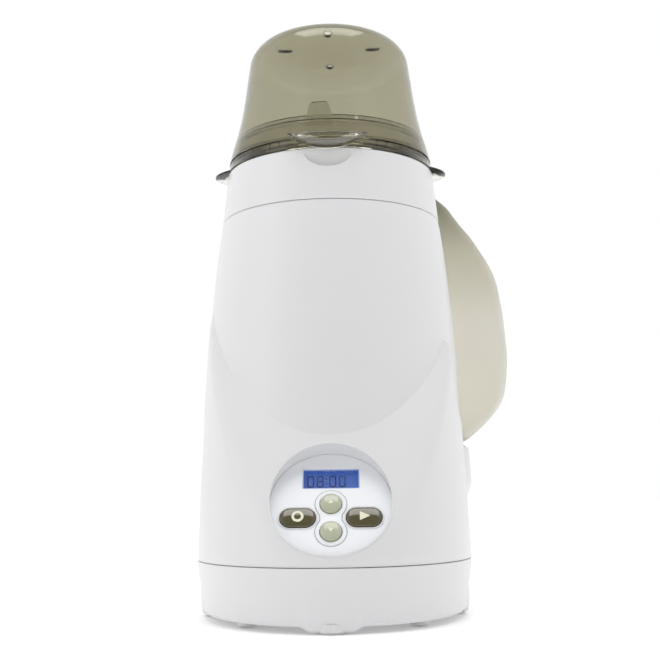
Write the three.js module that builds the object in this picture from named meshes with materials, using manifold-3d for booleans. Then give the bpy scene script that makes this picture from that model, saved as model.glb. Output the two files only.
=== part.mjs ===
// Baby bottle warmer, built as separate solids in millimetres, +Z up, front towards -Y.
// The heating chamber's axis is x = y = 0 while the pieces are drawn. The whole group is
// then moved so that the centre of its footprint is the origin.
import * as THREE from 'three';
import { mergeVertices } from 'three/addons/utils/BufferGeometryUtils.js';
import Module from 'manifold-3d';

const wasm = await Module();
wasm.setup();

// ---------------------------------------------------------------- driving dimensions
const GAP = 0.3; // air between neighbouring pieces
const WALL = 2.5; // housing wall
const BASE_TOP = 25; // seam between the base tray and the housing
const FLOOR = -2.3; // the surface that the rubber feet stand on
const COLLAR_BOTTOM = 192; // seam between the housing and the collar ring
const COLLAR_TOP = 217.7;
const COVER_RIM = 223.6; // where the steam cover stands on the basket
const COVER_TOP = 289.2;
const CHAMBER_R = 44.6; // inside radius of the chamber liner
const CHAMBER_FLOOR = 96;
const PLATE_R = 38;
const BASKET_R = 43.2; // outside radius of the basket's cup
const BASKET_FLOOR = 101;
const TANK_AZIMUTH = THREE.MathUtils.degToRad(36); // from +X towards the back
const TANK_LEDGE = 80; // height of the shelf under the tank
const TANK_FOOT = 82; // lowest face of the tank
const TANK_SEAM = 84; // height of the welded seam between the tank and its base plate
const TANK_ROUND = 14; // rounding of the tank's upright outer edges
const WELL_R = 74; // distance of the tank's neck from the chamber axis
const PANEL_TILT = THREE.MathUtils.degToRad(31); // the control panel leans back from upright
const PANEL_CENTRE = new THREE.Vector3(0, -70, 51.3);
const PANEL_A = 26.6; // half-width of the oval panel
const PANEL_B = 25.6; // half-height
const BUTTON_TRAVEL = 0.8;
const FINE = 40; // sides of the large round pieces
const MEDIUM = 28;
const SMALL = 12;

// outside radius of the cone and the collar at some heights
const CONE = [[25, 66], [82, 63.3], [103, 62.6], [120, 62], [137, 61.1], [145, 60.5], [162, 59],
  [180, 56.9], [192, 55.3], [204.5, 53.9], [218, 52.5]];
// half-width of the housing's outer wall
const HALF_WIDTH = [[25, 66.9], [40, 66.2], [50, 65.7], [63, 65.1], [82, 64.1], [96, 63.8],
  [111, 63], [137, 61.2], [160, 57], [218, 40]];
// outline of the tank in a plane through the chamber axis: distance from the axis, height
const TANK_OUTER = [[78, 82], [84, 85], [90, 89.5], [95, 94.5], [101, 103], [104, 112],
  [105.5, 122], [106, 130], [105, 142], [104, 151], [102, 160], [100, 169], [96.5, 178],
  [91.5, 187], [86.4, 195], [82.6, 199], [78, 204.6], [73, 209.6], [66, 213.2]];

const { sin, cos, abs, min, max, sqrt, PI } = Math;
const clamp01 = (t) => min(1, max(0, t));
const smooth = (t) => clamp01(t) ** 2 * (3 - 2 * clamp01(t));

function along(table, x) {
  const last = table.length - 1;
  if (x <= table[0][0]) return table[0][1];
  if (x >= table[last][0]) return table[last][1];
  const i = table.findIndex((row) => row[0] >= x);
  const [x0, y0] = table[i - 1];
  const [x1, y1] = table[i];
  return y0 + ((y1 - y0) * (x - x0)) / (x1 - x0);
}
const coneRadius = (z) => along(CONE, z);

// ---------------------------------------------------------------- solids
function toSolid(geometry) {
  const bare = geometry.clone();
  bare.deleteAttribute('normal');
  bare.deleteAttribute('uv');
  const merged = mergeVertices(bare, 1e-4);
  return new wasm.Manifold(new wasm.Mesh({
    numProp: 3,
    vertProperties: new Float32Array(merged.attributes.position.array),
    triVerts: new Uint32Array(merged.index.array),
  }));
}

function toGeometry(solid) {
  const mesh = solid.getMesh();
  const geometry = new THREE.BufferGeometry();
  const count = mesh.vertProperties.length / mesh.numProp;
  const position = new Float32Array(count * 3);
  for (let i = 0; i < count; i += 1) {
    for (let k = 0; k < 3; k += 1) position[3 * i + k] = mesh.vertProperties[mesh.numProp * i + k];
  }
  geometry.setAttribute('position', new THREE.BufferAttribute(position, 3));
  geometry.setIndex(new THREE.BufferAttribute(new Uint32Array(mesh.triVerts), 1));
  geometry.computeVertexNormals();
  return geometry;
}

const join = (...pieces) => pieces.map(solidOf).reduce((a, b) => a.add(b));
const cut = (first, ...tools) => tools.map(solidOf).reduce((a, b) => a.subtract(b), solidOf(first));
const common = (a, b) => solidOf(a).intersect(solidOf(b));
const solidOf = (piece) => (piece.isBufferGeometry ? toSolid(piece) : piece);

// a profile of [radius, height] turned about the z axis; it closes on itself or on the axis
function turned(profile, segments = FINE) {
  const points = profile.map(([r, z]) => new THREE.Vector2(r, z));
  const geometry = new THREE.LatheGeometry(points, segments);
  geometry.rotateX(PI / 2);
  return geometry;
}

// a ring with the given section corners, closed on itself
const ring = (corners, segments) => turned([...corners, corners[0]], segments);
const tube = (rIn, rOut, z0, z1, segments) => ring([[rIn, z0], [rOut, z0], [rOut, z1], [rIn, z1]], segments);
const disc = (r, z0, z1, segments) => turned([[0, z0], [r, z0], [r, z1], [0, z1]], segments);

function box(x0, x1, y0, y1, z0, z1) {
  const geometry = new THREE.BoxGeometry(x1 - x0, y1 - y0, z1 - z0);
  return geometry.translate((x0 + x1) / 2, (y0 + y1) / 2, (z0 + z1) / 2);
}

function prism(shape, z0, z1, curveSegments = 12) {
  const options = { depth: z1 - z0, bevelEnabled: false, curveSegments };
  return new THREE.ExtrudeGeometry(shape, options).translate(0, 0, z0);
}

function ellipse(a, b, x = 0, y = 0) {
  const shape = new THREE.Shape();
  shape.absellipse(x, y, a, b, 0, 2 * PI, false, 0);
  return shape;
}

function roundedBar(halfLength, halfHeight, x = 0, y = 0) {
  const shape = new THREE.Shape();
  const run = halfLength - halfHeight;
  shape.absarc(x + run, y, halfHeight, -PI / 2, PI / 2, false);
  shape.absarc(x - run, y, halfHeight, PI / 2, 1.5 * PI, false);
  shape.closePath();
  return shape;
}

// a closed body over stacked rings of equal count, from the lowest to the highest
function stacked(rings) {
  const count = rings[0].length;
  const points = rings.flat().map(([x, y, z]) => new THREE.Vector3(x, y, z));
  const faces = [];
  for (let k = 0; k + 1 < rings.length; k += 1) {
    for (let i = 0; i < count; i += 1) {
      const a = k * count + i;
      const b = k * count + ((i + 1) % count);
      faces.push(a, b, b + count, a, b + count, a + count);
    }
  }
  const caps = [[0, false], [rings.length - 1, true]];
  for (const [k, up] of caps) {
    const outline = rings[k].map(([x, y]) => new THREE.Vector2(x, y));
    for (const [a, b, c] of THREE.ShapeUtils.triangulateShape(outline, [])) {
      const [i, j, m] = [k * count + a, k * count + b, k * count + c];
      faces.push(...(up ? [i, j, m] : [i, m, j]));
    }
  }
  const geometry = new THREE.BufferGeometry().setFromPoints(points);
  geometry.setIndex(faces);
  return geometry;
}

// ---------------------------------------------------------------- housing surface
// distance of the curved front crescent from the chamber's middle plane, at height z
const CRESCENT = { z: 82, front: 63.2, rear: 63.2, slope: 0.44, curl: 0.002, bowFront: 320, bowRear: 400 };

function facetRadius(theta, z, reach) {
  const lean = CRESCENT.slope * (z - CRESCENT.z) + CRESCENT.curl * max(0, z - CRESCENT.z) ** 2;
  const offset = reach - lean;
  if (offset <= 0) return 0;
  const bend = cos(theta) ** 2 / (sin(theta) < 0 ? CRESCENT.bowFront : CRESCENT.bowRear);
  const face = abs(sin(theta));
  if (bend < 1e-6) return offset / face;
  return (sqrt(face * face + 4 * bend * offset) - face) / (2 * bend);
}

function wallRadius(theta, z) {
  const a = along(HALF_WIDTH, z);
  const front = sin(theta) < 0;
  const b = (front ? 86.5 : 84) - 0.045 * (z - 27);
  const n = front ? 2 : 3;
  return (abs(cos(theta) / a) ** n + abs(sin(theta) / b) ** n) ** (-1 / n);
}

// the shelf and the bracket that carry the tank
function shelfRadius(theta, z) {
  const turn = theta - TANK_AZIMUTH;
  const side = wallRadius(TANK_AZIMUTH, z) * Math.tan(turn);
  if (abs(turn) > 1 || abs(side) > 30) return 0;
  const spread = 1 - smooth(abs(side) / 30);
  return wallRadius(theta, z) + 14.5 * spread * smooth((z - 26) / 24);
}

function housingRadius(theta, z) {
  const cone = coneRadius(z);
  const turn = THREE.MathUtils.radToDeg(abs(theta - TANK_AZIMUTH));
  const cutFrom = 78 + 19 * (turn / 65) ** 2;
  const wall = max(wallRadius(theta, z), shelfRadius(theta, z));
  const skirt = min(wall, facetRadius(theta, z, CRESCENT.front));
  if (turn < 62 && z > max(cutFrom, TANK_LEDGE + 0.01)) return cone;
  return max(cone, skirt);
}

const BODY_SEGMENTS = 48;
function bodyBlock(radius, levels, segments, shrink) {
  const rings = levels.map((z) => Array.from({ length: segments }, (_, i) => {
    const theta = ((i / segments) * 2 - 0.5) * PI;
    const r = radius(theta, z) - shrink;
    return [r * cos(theta), r * sin(theta), z];
  }));
  return stacked(rings);
}

// ---------------------------------------------------------------- materials
const material = (name, color, roughness, metalness = 0, opacity = 1) => {
  const look = { name, color, roughness, metalness, opacity, transparent: opacity < 1 };
  return new THREE.MeshStandardMaterial(look);
};
const LOOKS = {
  white: () => material('gloss white plastic', 0xe9ebee, 0.25),
  inner: () => material('matt white plastic', 0xd8d8d4, 0.6),
  smoke: () => material('smoke clear plastic', 0x6e6a55, 0.1, 0, 0.55),
  tank: () => material('frosted smoke plastic', 0xa5a588, 0.4, 0, 0.6),
  dark: () => material('dark olive plastic', 0x3c3820, 0.3),
  sage: () => material('pale green plastic', 0xa3a88c, 0.35),
  lens: () => material('clear window', 0x9fb4e6, 0.05, 0, 0.3),
  blue: () => material('blue display', 0x3d5fb4, 0.3),
  board: () => material('circuit board', 0x2f6b3c, 0.5),
  black: () => material('black plastic', 0x1d1d1f, 0.5),
  rubber: () => material('grey rubber', 0x8b8d8e, 0.9),
  silicone: () => material('silicone', 0xd9d5cc, 0.7),
  steel: () => material('steel', 0xb9bcc0, 0.3, 1),
  aluminium: () => material('aluminium', 0xc9ccd0, 0.35, 1),
  brass: () => material('brass', 0xb79a55, 0.35, 1),
};

const warmer = new THREE.Group();
function add(name, piece, look, parent = warmer) {
  const geometry = piece.isBufferGeometry ? piece : toGeometry(piece);
  const mesh = new THREE.Mesh(geometry, LOOKS[look]());
  mesh.name = name;
  parent.add(mesh);
  return mesh;
}

// a group whose x axis runs outward through the tank
const tankSide = new THREE.Group();
tankSide.rotation.z = TANK_AZIMUTH;
warmer.add(tankSide);

// a group lying in the control panel: x right, y up the panel, z out of it
const panel = new THREE.Group();
panel.position.copy(PANEL_CENTRE);
panel.rotation.x = PI / 2 - PANEL_TILT;
warmer.add(panel);
panel.updateMatrix();
const inPanel = (piece) => solidOf(piece.clone().applyMatrix4(panel.matrix));
const atTank = (piece) => solidOf(piece.clone().rotateZ(TANK_AZIMUTH));

// ---------------------------------------------------------------- cover
function steamCover() {
  const wall = 2;
  const outer = [[51.8, COVER_RIM], [50.2, 231], [48.9, 235.4], [46.6, 244], [44.4, 256], [42.9, 267]];
  const shoulder = [];
  const inner = [];
  const [rWall, zWall, round] = [42.2, 274, 16];
  for (let i = 0; i <= 4; i += 1) {
    const a = (i / 4) * (PI / 2);
    const at = (r) => [rWall - round + r * cos(a), COVER_TOP - round + r * sin(a)];
    shoulder.push(at(round));
    inner.unshift(at(round - wall));
  }
  const wallInside = outer.slice().reverse().map(([r, z]) => [r - wall, z]);
  const rimInside = wallInside.pop();
  const profile = [...outer, ...shoulder.filter(([, z]) => z >= zWall), [0, COVER_TOP + 0.8],
    [0, COVER_TOP + 0.8 - wall], ...inner, ...wallInside, rimInside, outer[0]];
  const shell = toSolid(turned(profile));
  // a shallow tongue hangs from the front of the rim
  const tongueShape = new THREE.Shape();
  tongueShape.moveTo(-18.5, COVER_RIM + 1);
  tongueShape.quadraticCurveTo(-14, 217.2, -7, 216.9);
  tongueShape.lineTo(7, 216.9);
  tongueShape.quadraticCurveTo(14, 217.2, 18.5, COVER_RIM + 1);
  tongueShape.closePath();
  const slab = prism(tongueShape, 0, 60, 4).rotateX(PI / 2);
  const tongue = common(slab, tube(53, 54.8, 210, COVER_RIM + 2));
  const bridge = common(slab, tube(50.4, 54, COVER_RIM, COVER_RIM + 1.6));
  const vents = [0, 1, 2, 3].map((i) => {
    const vent = prism(ellipse(3.8, 1.9, 23, 0), COVER_TOP - 6, COVER_TOP + 4, 6);
    return vent.rotateZ((i * PI) / 2);
  });
  return cut(join(shell, tongue, bridge), ...vents);
}
add('steam_cover', steamCover(), 'smoke');

// ---------------------------------------------------------------- basket
function bottleBasket() {
  const lip = COLLAR_TOP + 3.1;
  const cup = turned([[0, BASKET_FLOOR], [BASKET_R - 3, BASKET_FLOOR], [BASKET_R, BASKET_FLOOR + 4],
    [BASKET_R, lip], [BASKET_R + 0.9, lip], [BASKET_R + 0.9, lip + 1.5], [BASKET_R - 2, lip + 1.5],
    [BASKET_R - 2, BASKET_FLOOR + 5], [BASKET_R - 4, BASKET_FLOOR + 2], [0, BASKET_FLOOR + 2]]);
  const drains = [disc(7, 90, 110, 12)];
  for (let i = 0; i < 8; i += 1) {
    drains.push(disc(4, 90, 110, 8).translate(24, 0, 0).rotateZ((i * PI) / 4));
  }
  return cut(cup, ...drains);
}
add('bottle_basket', bottleBasket(), 'smoke');

// the ring under the cup's lip: a flange over the collar, a band up to the cover and an upstand in it
function basketRing() {
  const rim = COVER_RIM - GAP;
  const inside = BASKET_R + GAP;
  const ledge = COLLAR_TOP + 3.1 - GAP;
  const body = ring([[inside, COLLAR_TOP + GAP], [52.4, COLLAR_TOP + GAP], [52.4, 220], [51.6, rim],
    [47.2, rim], [46.4, 234], [inside + 0.9, 234], [inside + 0.9, ledge], [inside, ledge]], FINE);
  const earDisc = toSolid(disc(12.6, 0, 2.2, 24));
  const ears = [-1, 1].map((side) => {
    const flat = earDisc.scale([0.72, 1, 1]).translate([side * 50.6, 0, COLLAR_TOP + GAP]);
    return cut(flat, disc(50, 200, 240));
  });
  const tabFace = prism(roundedBar(6.2, 6, 0, 236), 0, 60, 6).rotateX(PI / 2);
  const tab = common(tabFace, tube(43.2, 44.8, 230, 242));
  return join(body, ...ears, tab);
}
add('basket_ring', basketRing(), 'smoke');

// ---------------------------------------------------------------- collar
function collarRing() {
  const r = (z) => coneRadius(z);
  const body = ring([[46.8, 205], [48.8, 205], [50, COLLAR_TOP - 3], [r(COLLAR_TOP) - 2.6, COLLAR_TOP - 3],
    [r(COLLAR_BOTTOM) - 2.6, COLLAR_BOTTOM + GAP], [r(COLLAR_BOTTOM), COLLAR_BOTTOM + GAP],
    [r(204.5), 204.5], [r(COLLAR_TOP) - 0.2, COLLAR_TOP - 0.6], [r(COLLAR_TOP) - 0.8, COLLAR_TOP],
    [46.8, COLLAR_TOP]], FINE);
  // a half-moon recess for the thumb, under the cover's tongue
  const recess = prism(ellipse(12.5, 9, 0, COLLAR_TOP), 51.4, 60, 8).rotateX(PI / 2);
  return cut(body, recess);
}
add('collar_ring', collarRing(), 'white');

// ---------------------------------------------------------------- housing
const HOUSING_LEVELS = [BASE_TOP + GAP, 38, 52, 64, 72, TANK_LEDGE, TANK_LEDGE + 0.2, 88, 98, 110,
  125, 142, 165, COLLAR_BOTTOM];
const INNER_LEVELS = [BASE_TOP - 2, 52, TANK_LEDGE - WALL, TANK_LEDGE - WALL + 0.2, 98, 125, 160,
  COLLAR_BOTTOM - WALL];

// the oval well behind the panel, drawn in the panel's own axes
const well = (grow, back, front) => prism(ellipse(PANEL_A + grow, PANEL_B + grow), back, front, MEDIUM);
const WELL_BACK = -9;
const SHELF_UNDER = 66.5; // underside of the floor of the cap's well
const SOCKET_R = 5.6; // outside radius of the tank socket where it passes the shelf
// the hole in the shelf that the tank's cap hangs in
const capWell = (grow, z0, z1) => disc(11 + grow, z0, z1, 20).translate(WELL_R, 0, 0);

function mainHousing() {
  const outside = bodyBlock(housingRadius, HOUSING_LEVELS, BODY_SEGMENTS, 0);
  const inside = bodyBlock(
    (theta, z) => min(housingRadius(theta, z), housingRadius(theta, z + WALL)),
    INNER_LEVELS,
    BODY_SEGMENTS,
    WALL * 1.15,
  );
  const cavity = cut(
    inside,
    inPanel(well(2.4, WELL_BACK, 40)),
    atTank(capWell(2.2, SHELF_UNDER, 100)),
  );
  const mouth = disc(49.2, 180, 200);
  return cut(
    outside,
    cavity,
    mouth,
    inPanel(well(0.3, -2.6, 40)),
    inPanel(well(-2.2, WELL_BACK - 4, 0)),
    atTank(capWell(0, 69, 100)),
    atTank(disc(SOCKET_R + GAP, 60, 75, SMALL).translate(WELL_R, 0, 0)),
  );
}
add('main_housing', mainHousing(), 'white');

// ---------------------------------------------------------------- base tray
const baseOutline = (theta, z) => {
  const foot = BASE_TOP - GAP;
  const full = wallRadius(theta, BASE_TOP) * (1 - 0.0021 * (foot - z));
  const lobe = 1.6 * (1 - smooth((z - 6) / 10));
  const across = (abs(theta % (PI / 2)) * 180) / PI;
  const near = min(across, 90 - across);
  return full + lobe * (1 - smooth((near - 5) / 6));
};

function baseTray() {
  const top = BASE_TOP;
  const outside = bodyBlock(baseOutline, [FLOOR + 3, 6, 14, top], BODY_SEGMENTS, 0);
  const hollow = bodyBlock((t) => wallRadius(t, BASE_TOP) * 0.955, [4, top + 1], BODY_SEGMENTS / 2, WALL);
  const pads = footPlaces().map(([x, y]) => disc(9.6, FLOOR + 1.4, 2, SMALL).translate(x, y, 0));
  const posts = screwPlaces().map(([x, y]) => disc(4.4, FLOOR + 0.8, 20, 12).translate(x, y, 0));
  const seats = footPlaces().map(([x, y]) => disc(6.3, FLOOR + 1, FLOOR + 3.2, SMALL).translate(x, y, 0));
  const bores = screwPlaces().map(([x, y]) => disc(1.9, FLOOR, 30, 8).translate(x, y, 0));
  const heads = screwPlaces().map(([x, y]) => disc(3.6, FLOOR, 8, 12).translate(x, y, 0));
  const gland = join(disc(5.3, -20, 5, SMALL), disc(7.8, 0, 5, 20));
  const glandSeat = toSolid(toGeometry(gland).rotateX(-PI / 2).translate(0, GLAND_Y, GLAND_Z));
  return cut(join(cut(outside, hollow), ...pads, ...posts), ...seats, ...bores, ...heads, glandSeat);
}
// face of the flat seat round the cord gland
const GLAND_Z = 14.5;
const GLAND_Y = baseOutline(PI / 2, GLAND_Z) - 1.2;
const footPlaces = () => [[0, -76.5], [57, 0], [0, 74], [-57, 0]];
const screwPlaces = () => [[38, -52], [48, 40], [-48, 40], [-38, -52]];
add('base_tray', baseTray(), 'white');

footPlaces().forEach(([x, y], i) => {
  const foot = turned([[0, 0], [5.2, 0], [6, 0.8], [6, 2.9], [0, 2.9]], SMALL);
  add(['foot_front', 'foot_right', 'foot_rear', 'foot_left'][i], foot, 'rubber').position.set(x, y, FLOOR);
});

const screw = (length) => turned([[0, -2.2], [2.8, -2.2], [3.1, 0], [1.5, 0], [1.5, length], [0, length + 1]], 8);
screwPlaces().forEach(([x, y], i) => {
  add(`base_screw_${i + 1}`, screw(16), 'steel').position.set(x, y, 7.7);
});

// ---------------------------------------------------------------- control panel
const LCD = { width: 25.1, height: 10, y: 12.9 };
const OVALS = [['stop_button', -14.3], ['start_button', 14.3]];
const ROUNDS = [['up_button', 0], ['down_button', -13.5]];
const OVAL = { a: 7.7, b: 4.55, y: -6.7 };
const ROUND_R = 4.7;
const BEZEL_BACK = -2.2;
const STEM_END = -4.6; // back end of each button's stem
const SWITCH_TOP = STEM_END - BUTTON_TRAVEL - GAP;
const BOARD_TOP = SWITCH_TOP - 3.6;
const BOARD_BACK = BOARD_TOP - 1.6;
const boardBosses = [[-18, 8], [18, 8]];

function figureEight(grow) {
  const lobes = ROUNDS.map(([, y]) => prism(ellipse(7.1 + grow, 7.1 + grow, 0, y), BEZEL_BACK - 1, 2, 8));
  const waist = box(-4.7 - grow, 4.7 + grow, -11, -2.5, BEZEL_BACK - 1, 2);
  return join(...lobes, waist);
}

function panelBezel() {
  const plate = prism(ellipse(PANEL_A - 0.1, PANEL_B - 0.1), BEZEL_BACK, 0, MEDIUM);
  const window = box(-LCD.width / 2, LCD.width / 2, LCD.y - LCD.height / 2, LCD.y + LCD.height / 2, -5, 3);
  const ovals = OVALS.map(([, x]) => prism(roundedBar(OVAL.a + GAP, OVAL.b + GAP, x, OVAL.y), -5, 3, 6));
  const bosses = boardBosses.map(([x, y]) => disc(2.4, BOARD_TOP + GAP, BEZEL_BACK + 0.5, 12).translate(x, y, 0));
  const bores = boardBosses.map(([x, y]) => disc(1.5, BOARD_TOP - 1, BEZEL_BACK, 8).translate(x, y, 0));
  return cut(join(plate, ...bosses), window, ...ovals, figureEight(0), ...bores);
}
add('panel_bezel', panelBezel(), 'white', panel);

const windowPane = box(-LCD.width / 2 + GAP, LCD.width / 2 - GAP, LCD.y - LCD.height / 2 + GAP,
  LCD.y + LCD.height / 2 - GAP, -1.6, -0.4);
add('display_window', windowPane, 'lens', panel);

function buttonSurround() {
  const plate = cut(figureEight(-GAP), box(-20, 20, -30, 20, 0.5, 5), box(-20, 20, -30, 20, -9, BEZEL_BACK));
  return cut(plate, ...ROUNDS.map(([, y]) => prism(ellipse(ROUND_R + GAP, ROUND_R + GAP, 0, y), -5, 5, 8)));
}
add('button_surround', buttonSurround(), 'white', panel);

// each button is a cap with a stem behind it that reaches the switch on the control board
for (const [name, x] of OVALS) {
  const cap = join(
    prism(roundedBar(OVAL.a, OVAL.b, x, OVAL.y), -3, 1, 6),
    prism(roundedBar(OVAL.a - 0.9, OVAL.b - 0.9, x, OVAL.y), 0.9, 1.5, 6),
    prism(roundedBar(OVAL.a + 1, OVAL.b + 1, x, OVAL.y), -3.4, BEZEL_BACK - GAP, 6),
    prism(ellipse(1.6, 1.6, x, OVAL.y), STEM_END, -2, 4),
  );
  add(name, cap, 'dark', panel);
}
for (const [name, y] of ROUNDS) {
  const cap = turned([[0, STEM_END], [1.4, STEM_END], [1.4, -3.4], [ROUND_R + 1, -3.4],
    [ROUND_R + 1, BEZEL_BACK - GAP], [ROUND_R, BEZEL_BACK - GAP], [ROUND_R, 1.1],
    [ROUND_R - 0.7, 1.7], [0, 1.9]], 20);
  add(name, cap, 'sage', panel).position.y = y;
}

// ---------------------------------------------------------------- control board
function controlBoard() {
  const plate = prism(ellipse(22, 21), BOARD_BACK, BOARD_TOP, 12);
  return cut(plate, ...boardBosses.map(([x, y]) => disc(1.6, -30, 0, 8).translate(x, y, 0)));
}
add('control_board', controlBoard(), 'board', panel);
const lcdModule = box(-13.5, 13.5, LCD.y - 6, LCD.y + 6, BOARD_TOP + GAP, -2.6);
add('lcd_module', lcdModule, 'blue', panel);
for (const [name, x, y] of [['switch_stop', -14.3, -6.7], ['switch_start', 14.3, -6.7],
  ['switch_up', 0, 0], ['switch_down', 0, -13.5]]) {
  const body = join(box(-2.4, 2.4, -2.4, 2.4, BOARD_TOP + GAP, SWITCH_TOP - 0.8), disc(1.5, BOARD_TOP + 1, SWITCH_TOP, 8));
  add(name, body, 'black', panel).position.set(x, y, 0);
}
add('buzzer', disc(4.5, BOARD_BACK - 5.3, BOARD_BACK - GAP, SMALL), 'black', panel).position.set(-8, 8, 0);
boardBosses.forEach(([x, y], i) => {
  const bolt = turned([[0, -1.9], [2.3, -1.9], [2.6, -GAP], [1.2, -GAP], [1.2, 5.6], [0, 6]], 10);
  add(`board_screw_${i + 1}`, bolt, 'steel', panel).position.set(x, y, BOARD_BACK);
});

// ---------------------------------------------------------------- tank
function tankSection(z, reach, inset) {
  const rIn = coneRadius(z) + 1 + inset;
  const rise = smooth((z - TANK_FOOT + 6) / 34);
  const fall = 1 - 0.42 * smooth((z - 165) / 51);
  const half = (15 + 9 * rise) * fall - inset;
  const edge = sqrt(rIn * rIn - half * half);
  const far = max(reach - inset, rIn + 3);
  const round = min(TANK_ROUND, half - 1, far - edge - 1);
  const points = [];
  // two rounded outer corners, then the inner face back along the cone
  for (const side of [-1, 1]) {
    for (let i = 0; i <= 5; i += 1) {
      const a = ((side < 0 ? 5 - i : i) / 5) * (PI / 2);
      points.push([far - round + round * cos(a), side * (half - round + round * sin(a)), z]);
    }
  }
  for (let i = 0; i <= 6; i += 1) {
    const t = half * (1 - i / 3);
    points.push([sqrt(rIn * rIn - t * t), t, z]);
  }
  return points;
}
const tankBody = (outer, inset, levels) => stacked(levels.map((z) => tankSection(z, along(outer, z), inset)));

const TANK_PROFILE = TANK_OUTER.map(([r, z]) => [z, r]);

function waterTank() {
  const levels = [TANK_SEAM + GAP, 85, 89.5, 95, 103, 112, 130, 148, 165, 178, 190, 201, 210, 214];
  const inner = [TANK_SEAM, 89, 96, 106, 130, 150, 170, 190, 202, 211.5];
  return cut(tankBody(TANK_PROFILE, 0, levels), tankBody(TANK_PROFILE, 2, inner));
}
add('water_tank', waterTank(), 'tank', tankSide);

// the plate that closes the tank from below, with its neck
function tankBase() {
  const plate = tankBody(TANK_PROFILE, 0, [TANK_FOOT, TANK_SEAM]);
  const neck = disc(7.5, 76.5, 83, 20).translate(WELL_R, 0, 0);
  const throat = disc(5.5, 70, 90, SMALL).translate(WELL_R, 0, 0);
  return cut(join(plate, neck), throat);
}
add('tank_base', tankBase(), 'tank', tankSide);

// screw cap on the tank's neck, with a sprung valve through its middle
const CAP_BOTTOM = 71.5;
const CAP_FLOOR = 74.6;
const capShell = ring([[2.6, CAP_BOTTOM], [9.4, CAP_BOTTOM], [9.4, 81.4], [7.8, 81.4],
  [7.8, CAP_FLOOR], [2.6, CAP_FLOOR]], 20);
const cage = ring([[4.6, CAP_FLOOR - 1], [5.1, CAP_FLOOR - 1], [5.1, 86], [1.7, 86], [1.7, 84.9],
  [4.6, 84.9]], SMALL);
const cageWindows = box(-1.6, 1.6, -8, 8, 78.5, 83.5);
const gripRibs = [0, 1, 2, 3, 4, 5, 6, 7].map((i) => {
  const rib = box(9, 10.1, -0.8, 0.8, CAP_BOTTOM + 0.4, 80.6);
  return rib.rotateZ((i * PI) / 4);
});
add('tank_cap', cut(join(capShell, cage, ...gripRibs), cageWindows), 'inner', tankSide).position.x = WELL_R;
const stem = turned([[0, CAP_BOTTOM - 1.2], [1.6, CAP_BOTTOM - 1.2], [1.6, 76.6], [4, 76.6], [4, 77.8],
  [1.2, 77.8], [1.2, 84], [0, 84]], 12);
add('valve_stem', stem, 'inner', tankSide).position.x = WELL_R;
add('cap_gasket', tube(5.6, 7.5, CAP_FLOOR + GAP, 76.2, 20), 'silicone', tankSide).position.x = WELL_R;
add('valve_seal', tube(1.9, 4.3, CAP_FLOOR + GAP, 76.3, SMALL), 'silicone', tankSide).position.x = WELL_R;

class Helix extends THREE.Curve {
  constructor(radius, z0, z1, turns) {
    super();
    Object.assign(this, { radius, z0, z1, turns });
  }

  getPoint(t) {
    const a = t * this.turns * 2 * PI;
    return new THREE.Vector3(this.radius * cos(a), this.radius * sin(a), this.z0 + (this.z1 - this.z0) * t);
  }
}

function springSolid(path, wire, steps) {
  const section = new THREE.Shape();
  section.absarc(0, 0, wire, 0, 2 * PI, false);
  return new THREE.ExtrudeGeometry(section, { steps, extrudePath: path, curveSegments: 2 });
}
add('valve_spring', springSolid(new Helix(2.7, 78.6, 84, 3.5), 0.35, 30), 'steel', tankSide).position.x = WELL_R;

// socket under the shelf, with a pin that opens the valve and a spigot for the inlet tube
const socketBody = join(
  ring([[2.6, 62.6], [7, 62.6], [7, SHELF_UNDER - GAP], [SOCKET_R, SHELF_UNDER - GAP], [SOCKET_R, 69.4],
    [2.6, 69.4]], SMALL),
  tube(1.6, 3.4, 52, 63.5, SMALL),
  box(-3.2, 3.2, -0.7, 0.7, 63, 66),
  disc(0.9, 65, CAP_BOTTOM - 1.5, 8),
);
add('tank_socket', socketBody, 'inner', tankSide).position.x = WELL_R;

// ---------------------------------------------------------------- heating chamber
const linerProfile = [[33, CHAMBER_FLOOR], [CHAMBER_R + 1.4, CHAMBER_FLOOR], [CHAMBER_R + 1.4, 216],
  [CHAMBER_R, 216], [CHAMBER_R, CHAMBER_FLOOR + 1.6], [33, CHAMBER_FLOOR + 1.6]];
add('chamber_liner', ring(linerProfile, 40), 'aluminium');
add('plate_seal', tube(33.6, 37.4, 94.3, 95.7, MEDIUM), 'silicone');
add('heating_plate', turned([[0, 91], [PLATE_R, 91], [PLATE_R, 94], [31, 94], [30, 92.8], [0, 92.8]], MEDIUM), 'aluminium');

class Loop extends THREE.Curve {
  constructor(radius, sweep, z) {
    super();
    Object.assign(this, { radius, sweep, z });
  }

  getPoint(t) {
    const a = (t - 0.5) * this.sweep - PI / 2;
    return new THREE.Vector3(this.radius * cos(a), this.radius * sin(a), this.z);
  }
}
const rod = new THREE.ExtrudeGeometry(ellipse(3.2, 3.2), {
  steps: 24, extrudePath: new Loop(27, 1.72 * PI, 87.2), curveSegments: 3,
});
add('heater_element', rod, 'steel');
add('thermostat', join(disc(8, 84, 90.6, SMALL), disc(5, 78, 85, 12)), 'black');
const fuse = new THREE.CylinderGeometry(2.4, 2.4, 14, 12).rotateZ(PI / 2).translate(0, -15.5, 88);
add('thermal_fuse', fuse, 'steel');

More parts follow.
